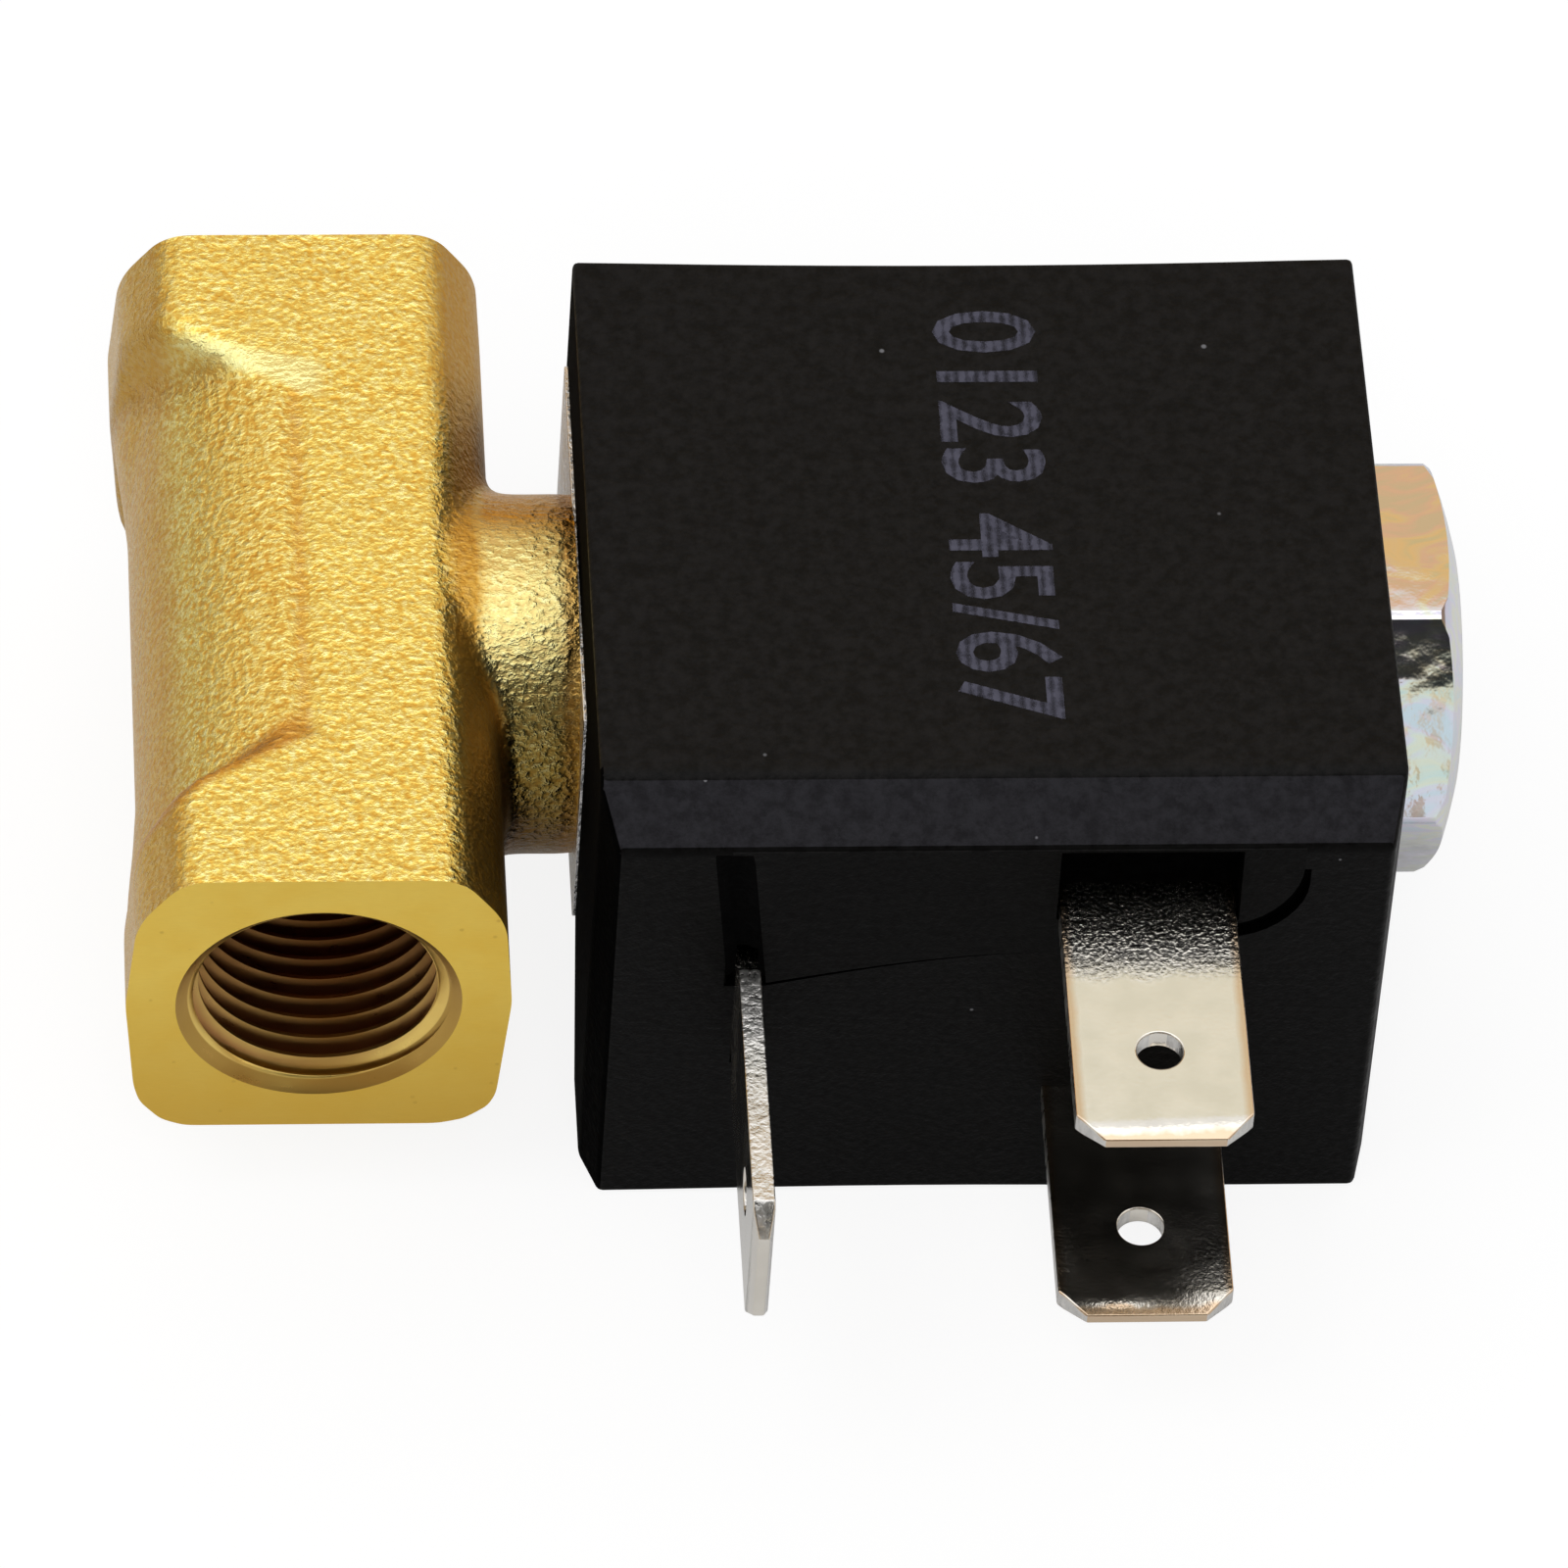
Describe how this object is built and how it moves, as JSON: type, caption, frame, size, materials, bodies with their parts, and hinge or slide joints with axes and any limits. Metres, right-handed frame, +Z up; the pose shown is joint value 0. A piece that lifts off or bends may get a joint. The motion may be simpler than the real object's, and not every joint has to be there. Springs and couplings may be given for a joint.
{
  "type": "solenoid valve",
  "caption": "Small in-line brass solenoid valve with a black moulded coil, three blade terminals, two threaded ports and a hexagon nut on its armature tube.",
  "frame": {"origin": "on the ports' axis, where the full thread of the inlet port begins", "axes": "+X along the armature from the brass body to the coil nut, +Y from the inlet port to the outlet port, +Z up from the coil's flat underside"},
  "size_m": [0.0488, 0.0434, 0.0212],
  "materials": {
    "brass_body": "forged and blasted, machined port faces",
    "brass_turned": "turned",
    "stainless": "drawn",
    "ferritic_steel": "turned",
    "nut_plating": "zinc plated",
    "zinc_plate": "zinc plated",
    "tab_plating": "tin plated, bright",
    "copper": "enamelled wire",
    "rubber_black": "matte",
    "rubber_red": "matte",
    "coil_plastic": "moulded, fine texture",
    "bobbin_plastic": "moulded",
    "tape": "polyester tape"
  },
  "bodies": {
    "valve": {"valve_body": "brass_body", "guide_tube": "stainless", "tube_ferrule": "brass_turned", "tube_o_ring": "rubber_black", "fixed_core": "ferritic_steel", "shading_ring": "copper", "coil_nut": "nut_plating"},
    "armature": {"plunger": "ferritic_steel", "plunger_seal": "rubber_red", "return_spring": "stainless"},
    "coil": {"coil_housing": "coil_plastic", "yoke_frame": "zinc_plate", "yoke_sleeve_left": "ferritic_steel", "yoke_sleeve_right": "ferritic_steel", "bobbin": "bobbin_plastic", "coil_winding": "copper", "winding_tape": "tape", "lead_wire_upper": "copper", "lead_wire_lower": "copper", "line_terminal_upper": "tab_plating", "line_terminal_lower": "tab_plating", "ground_terminal": "tab_plating"}
  },
  "joints": [
    {"name": "plunger_stroke", "type": "slide", "parent": "valve", "child": "armature", "axis": [1, 0, 0], "range_m": [0, 0.0012], "stiffness_N_per_m": 400, "springref_m": -0.005, "deforming": ["return_spring"]},
    {"name": "coil_swivel", "type": "hinge", "parent": "valve", "child": "coil", "pos_m": [0, 0.0149, 0], "axis": [1, 0, 0], "continuous": true}
  ]
}
